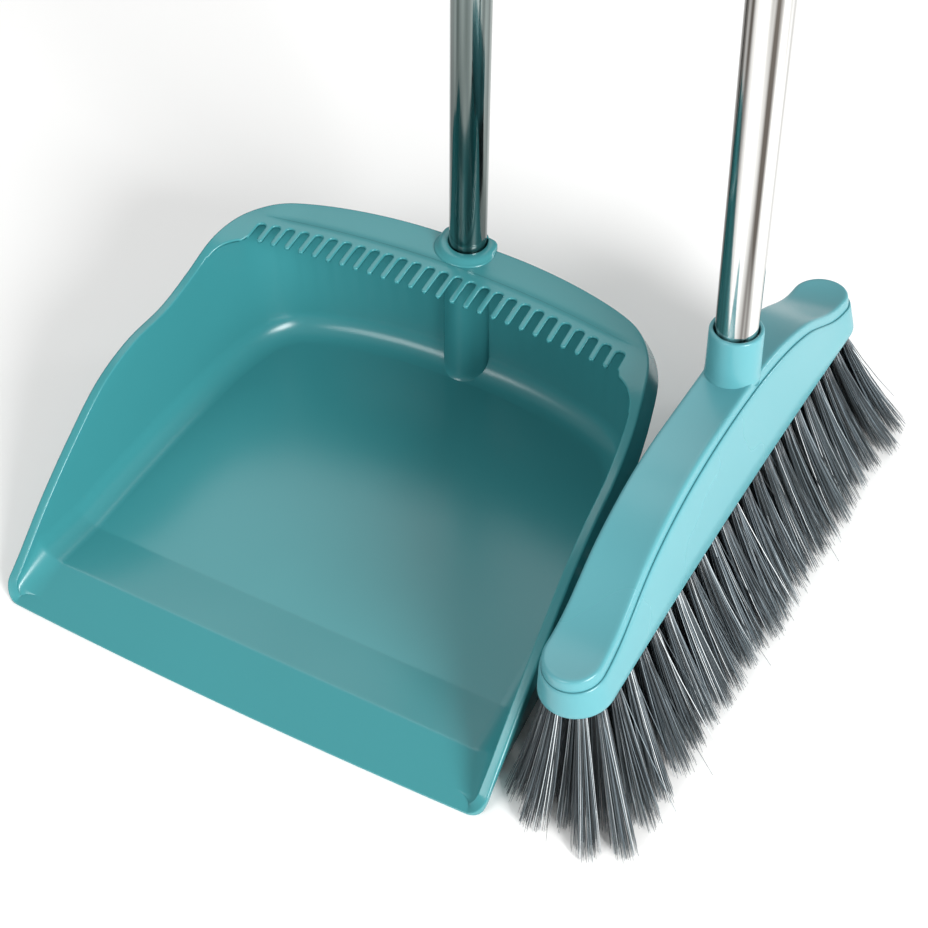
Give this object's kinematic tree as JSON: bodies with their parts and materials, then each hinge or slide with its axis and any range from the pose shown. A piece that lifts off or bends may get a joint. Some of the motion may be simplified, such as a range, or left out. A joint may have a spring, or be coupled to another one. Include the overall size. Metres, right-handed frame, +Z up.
{
  "type": "dust pan and brush set",
  "caption": "Long-handled dust pan with a bristle-cleaning comb along its rear shelf, and a long-handled broom with an arched head and flared bristles.",
  "frame": {"origin": "on the floor under the middle of the dust pan's flat base", "axes": "+Z up, +Y from the pan's lip to its rear wall, +X to the pan's right where the broom stands"},
  "size_m": [0.4084, 0.3665, 1.0035],
  "materials": {
    "pan_plastic": "satin",
    "head_plastic": "satin",
    "grip_plastic": "satin",
    "plug_plastic": "matte",
    "tube_steel": "polished",
    "anchor_wire": "satin",
    "bristles": "satin"
  },
  "bodies": {
    "pan": {"pan_shell": "pan_plastic", "comb": "pan_plastic"},
    "pan_handle": {"pan_foot_plug": "plug_plastic", "pan_lower_tube": "tube_steel", "pan_joint_socket": "plug_plastic"},
    "pan_upper_handle": {"pan_joint_plug": "plug_plastic", "pan_upper_tube": "tube_steel", "pan_grip": "grip_plastic"},
    "broom": {"head_base": "head_plastic", "head_cover": "head_plastic", "bristle_row_1": "bristles", "bristle_row_2": "bristles", "bristle_row_3": "bristles", "bristle_row_4": "bristles", "bristle_row_5": "bristles", "tuft_anchors": "anchor_wire"},
    "broom_handle": {"broom_foot_plug": "plug_plastic", "broom_lower_tube": "tube_steel", "broom_joint_socket": "plug_plastic"},
    "broom_upper_handle": {"broom_joint_plug": "plug_plastic", "broom_upper_tube": "tube_steel", "broom_grip": "grip_plastic"}
  },
  "joints": [
    {"name": "broom_lift", "type": "slide", "parent": "pan", "child": "broom", "axis": [0, 0, 1], "range_m": [0, 0.4]},
    {"name": "pan_handle_pull", "type": "slide", "parent": "pan", "child": "pan_handle", "axis": [0, 0.0332, 0.9995], "range_m": [0, 0.11]},
    {"name": "pan_section_pull", "type": "slide", "parent": "pan_handle", "child": "pan_upper_handle", "axis": [0, 0.0332, 0.9995], "range_m": [0, 0.04]},
    {"name": "broom_handle_pull", "type": "slide", "parent": "broom", "child": "broom_handle", "axis": [-0.076, 0.0779, 0.9941], "range_m": [0, 0.08]},
    {"name": "broom_section_pull", "type": "slide", "parent": "broom_handle", "child": "broom_upper_handle", "axis": [-0.076, 0.0779, 0.9941], "range_m": [0, 0.04]}
  ]
}
